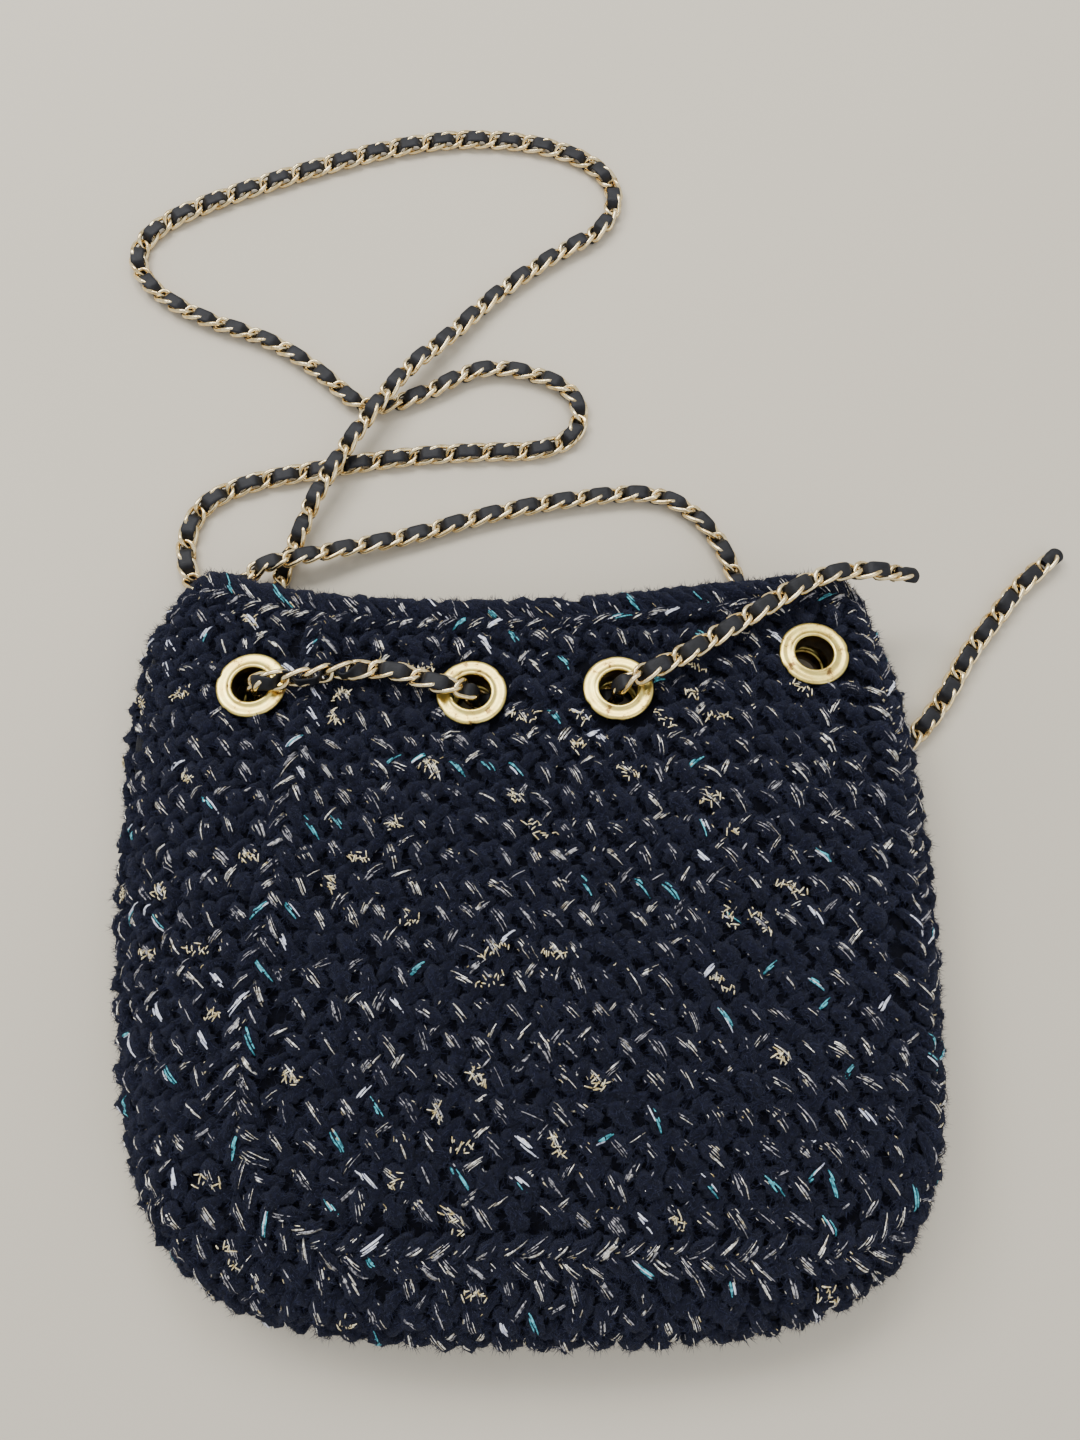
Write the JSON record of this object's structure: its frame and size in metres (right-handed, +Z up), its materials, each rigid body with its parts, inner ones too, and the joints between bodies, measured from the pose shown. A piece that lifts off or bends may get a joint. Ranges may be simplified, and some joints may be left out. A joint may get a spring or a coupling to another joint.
{
  "type": "crochet bucket bag",
  "caption": "Crocheted bucket bag lying on its back, with brass eyelets and a leather-woven chain threaded as drawstring and strap.",
  "frame": {"origin": "on the table under the middle of the bag lying on its back, the chain left out", "axes": "+Z up from the table, out of the bag's front; +Y from the base towards the mouth; +X to the right seen from above"},
  "size_m": [0.3415, 0.4292, 0.0415],
  "materials": {
    "crochet": "fuzzy crocheted yarn with metallic flecks",
    "lining": "plain woven, matt",
    "eyelet_gold": "satin, worn at the edges",
    "chain_gold": "pale gold plating, polished",
    "chain_leather": "smooth black ribbon"
  },
  "bodies": {
    "bag_base": {"back_panel": "crochet", "back_yoke": "crochet", "gusset_right": "crochet", "gusset_yoke": "crochet", "gusset_side": "crochet", "back_seam": "crochet", "rim_back": "crochet", "lining_back": "lining", "eyelet_back_1": "eyelet_gold", "eyelet_back_2": "eyelet_gold", "eyelet_back_3": "eyelet_gold", "eyelet_back_4": "eyelet_gold", "washer_back_1": "eyelet_gold", "washer_back_2": "eyelet_gold", "washer_back_3": "eyelet_gold", "washer_back_4": "eyelet_gold", "strap_chain": "chain_gold", "crossing_chain": "chain_gold", "strap_tip": "chain_leather"},
    "bag_front": {"front_panel": "crochet", "gusset_left": "crochet", "front_seam": "crochet", "rim_front": "crochet", "lining_front": "lining", "held_chain": "chain_gold", "tail_chain": "chain_gold", "tail_tip": "chain_leather", "eyelet_front_1": "eyelet_gold", "eyelet_front_2": "eyelet_gold", "eyelet_front_3": "eyelet_gold", "eyelet_front_4": "eyelet_gold", "washer_front_1": "eyelet_gold", "washer_front_2": "eyelet_gold", "washer_front_3": "eyelet_gold", "washer_front_4": "eyelet_gold"}
  },
  "joints": [
    {"name": "mouth_open", "type": "hinge", "parent": "bag_base", "child": "bag_front", "pos_m": [0, -0.088, 0.036], "axis": [1, 0, 0], "range_deg": [0, 10], "deforming": ["crossing_chain"]}
  ]
}
